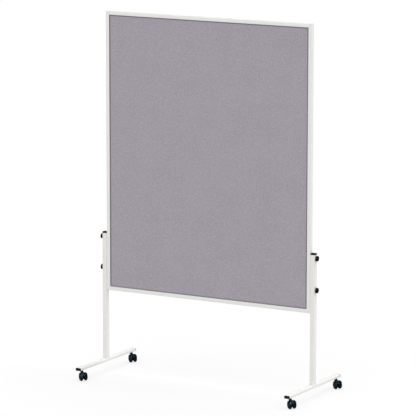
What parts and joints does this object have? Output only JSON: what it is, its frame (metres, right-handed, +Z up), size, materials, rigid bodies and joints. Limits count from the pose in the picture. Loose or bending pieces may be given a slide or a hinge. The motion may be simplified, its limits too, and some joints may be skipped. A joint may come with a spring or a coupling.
{
  "type": "partition wall",
  "caption": "Mobile felt partition board in a slim white frame, clamped between two square posts on T-feet with twin-wheel castors.",
  "frame": {"origin": "on the floor, below the middle of the board and of both feet", "axes": "+Z up, +X along the board to the right as seen from the front, the front felt faces -Y"},
  "size_m": [1.3267, 0.5736, 1.948],
  "materials": {
    "white_powder_coat": "fine white powder coat, satin",
    "grey_felt": "needled felt, grey with a lilac cast",
    "fibreboard": "raw fibreboard",
    "black_plastic": "moulded black plastic, satin",
    "black_tread": "hard moulded wheel, blue-black, glossy",
    "zinc_steel": "zinc-plated steel"
  },
  "bodies": {
    "stand": {"frame_top": "white_powder_coat", "frame_bottom": "white_powder_coat", "frame_left": "white_powder_coat", "frame_right": "white_powder_coat", "corner_connector_top_left": "zinc_steel", "corner_connector_top_right": "zinc_steel", "corner_connector_bottom_left": "zinc_steel", "corner_connector_bottom_right": "zinc_steel", "panel_core": "fibreboard", "felt_front": "grey_felt", "felt_rear": "grey_felt", "threaded_insert_left_upper": "zinc_steel", "threaded_insert_left_lower": "zinc_steel", "threaded_insert_right_upper": "zinc_steel", "threaded_insert_right_lower": "zinc_steel", "post_left": "white_powder_coat", "post_cap_left": "black_plastic", "post_nut_left": "zinc_steel", "foot_tube_left": "white_powder_coat", "foot_bolt_left": "zinc_steel", "post_right": "white_powder_coat", "post_cap_right": "black_plastic", "post_nut_right": "zinc_steel", "foot_tube_right": "white_powder_coat", "foot_bolt_right": "zinc_steel", "foot_plug_left_front": "black_plastic", "foot_plug_left_rear": "black_plastic", "foot_plug_right_front": "black_plastic", "foot_plug_right_rear": "black_plastic", "castor_stem_left_front": "zinc_steel", "castor_stem_left_rear": "zinc_steel", "castor_stem_right_front": "zinc_steel", "castor_stem_right_rear": "zinc_steel"},
    "washer_left_upper": {"knob_washer_left_upper": "black_plastic"},
    "knob_left_upper": {"clamp_knob_left_upper": "black_plastic"},
    "washer_left_lower": {"knob_washer_left_lower": "black_plastic"},
    "knob_left_lower": {"clamp_knob_left_lower": "black_plastic"},
    "washer_right_upper": {"knob_washer_right_upper": "black_plastic"},
    "knob_right_upper": {"clamp_knob_right_upper": "black_plastic"},
    "washer_right_lower": {"knob_washer_right_lower": "black_plastic"},
    "knob_right_lower": {"clamp_knob_right_lower": "black_plastic"},
    "castor_left_front": {"castor_hood_left_front": "black_plastic", "castor_axle_left_front": "zinc_steel"},
    "wheel_left_front_a": {"castor_wheel_left_front_a": "black_tread"},
    "wheel_left_front_b": {"castor_wheel_left_front_b": "black_tread"},
    "castor_left_rear": {"castor_hood_left_rear": "black_plastic", "castor_axle_left_rear": "zinc_steel"},
    "wheel_left_rear_a": {"castor_wheel_left_rear_a": "black_tread"},
    "wheel_left_rear_b": {"castor_wheel_left_rear_b": "black_tread"},
    "castor_right_front": {"castor_hood_right_front": "black_plastic", "castor_axle_right_front": "zinc_steel"},
    "wheel_right_front_a": {"castor_wheel_right_front_a": "black_tread"},
    "wheel_right_front_b": {"castor_wheel_right_front_b": "black_tread"},
    "castor_right_rear": {"castor_hood_right_rear": "black_plastic", "castor_axle_right_rear": "zinc_steel"},
    "wheel_right_rear_a": {"castor_wheel_right_rear_a": "black_tread"},
    "wheel_right_rear_b": {"castor_wheel_right_rear_b": "black_tread"}
  },
  "joints": [
    {"name": "knob_left_upper_travel", "type": "slide", "parent": "stand", "child": "washer_left_upper", "axis": [-1, 0, 0], "range_m": [0, 0.00875]},
    {"name": "knob_left_upper_turn", "type": "hinge", "parent": "washer_left_upper", "child": "knob_left_upper", "pos_m": [-0.6435, 0, 0.737], "axis": [-1, 0, 0], "range_deg": [0, 2520]},
    {"name": "knob_left_lower_travel", "type": "slide", "parent": "stand", "child": "washer_left_lower", "axis": [-1, 0, 0], "range_m": [0, 0.00875]},
    {"name": "knob_left_lower_turn", "type": "hinge", "parent": "washer_left_lower", "child": "knob_left_lower", "pos_m": [-0.6435, 0, 0.57], "axis": [-1, 0, 0], "range_deg": [0, 2520]},
    {"name": "knob_right_upper_travel", "type": "slide", "parent": "stand", "child": "washer_right_upper", "axis": [1, 0, 0], "range_m": [0, 0.00875]},
    {"name": "knob_right_upper_turn", "type": "hinge", "parent": "washer_right_upper", "child": "knob_right_upper", "pos_m": [0.6435, 0, 0.737], "axis": [1, 0, 0], "range_deg": [0, 2520]},
    {"name": "knob_right_lower_travel", "type": "slide", "parent": "stand", "child": "washer_right_lower", "axis": [1, 0, 0], "range_m": [0, 0.00875]},
    {"name": "knob_right_lower_turn", "type": "hinge", "parent": "washer_right_lower", "child": "knob_right_lower", "pos_m": [0.6435, 0, 0.57], "axis": [1, 0, 0], "range_deg": [0, 2520]},
    {"name": "castor_left_front_swivel", "type": "hinge", "parent": "stand", "child": "castor_left_front", "pos_m": [-0.6275, -0.254, 0.0526], "axis": [0, 0, 1], "continuous": true},
    {"name": "castor_left_front_wheel_a_roll", "type": "hinge", "parent": "castor_left_front", "child": "wheel_left_front_a", "pos_m": [-0.60896, -0.26386, 0.0215], "axis": [0.4695, 0.8829, 0], "continuous": true},
    {"name": "castor_left_front_wheel_b_roll", "type": "hinge", "parent": "castor_left_front", "child": "wheel_left_front_b", "pos_m": [-0.60896, -0.26386, 0.0215], "axis": [0.4695, 0.8829, 0], "continuous": true},
    {"name": "castor_left_rear_swivel", "type": "hinge", "parent": "stand", "child": "castor_left_rear", "pos_m": [-0.6275, 0.254, 0.0526], "axis": [0, 0, 1], "continuous": true},
    {"name": "castor_left_rear_wheel_a_roll", "type": "hinge", "parent": "castor_left_rear", "child": "wheel_left_rear_a", "pos_m": [-0.60896, 0.24414, 0.0215], "axis": [0.4695, 0.8829, 0], "continuous": true},
    {"name": "castor_left_rear_wheel_b_roll", "type": "hinge", "parent": "castor_left_rear", "child": "wheel_left_rear_b", "pos_m": [-0.60896, 0.24414, 0.0215], "axis": [0.4695, 0.8829, 0], "continuous": true},
    {"name": "castor_right_front_swivel", "type": "hinge", "parent": "stand", "child": "castor_right_front", "pos_m": [0.6275, -0.254, 0.0526], "axis": [0, 0, 1], "continuous": true},
    {"name": "castor_right_front_wheel_a_roll", "type": "hinge", "parent": "castor_right_front", "child": "wheel_right_front_a", "pos_m": [0.64604, -0.26386, 0.0215], "axis": [0.4695, 0.8829, 0], "continuous": true},
    {"name": "castor_right_front_wheel_b_roll", "type": "hinge", "parent": "castor_right_front", "child": "wheel_right_front_b", "pos_m": [0.64604, -0.26386, 0.0215], "axis": [0.4695, 0.8829, 0], "continuous": true},
    {"name": "castor_right_rear_swivel", "type": "hinge", "parent": "stand", "child": "castor_right_rear", "pos_m": [0.6275, 0.254, 0.0526], "axis": [0, 0, 1], "continuous": true},
    {"name": "castor_right_rear_wheel_a_roll", "type": "hinge", "parent": "castor_right_rear", "child": "wheel_right_rear_a", "pos_m": [0.64604, 0.24414, 0.0215], "axis": [0.4695, 0.8829, 0], "continuous": true},
    {"name": "castor_right_rear_wheel_b_roll", "type": "hinge", "parent": "castor_right_rear", "child": "wheel_right_rear_b", "pos_m": [0.64604, 0.24414, 0.0215], "axis": [0.4695, 0.8829, 0], "continuous": true}
  ],
  "couplings": [
    {"joint": "knob_left_upper_travel", "follows": "knob_left_upper_turn", "m_per_rad": 0.00019894},
    {"joint": "knob_left_lower_travel", "follows": "knob_left_lower_turn", "m_per_rad": 0.00019894},
    {"joint": "knob_right_upper_travel", "follows": "knob_right_upper_turn", "m_per_rad": 0.00019894},
    {"joint": "knob_right_lower_travel", "follows": "knob_right_lower_turn", "m_per_rad": 0.00019894}
  ]
}
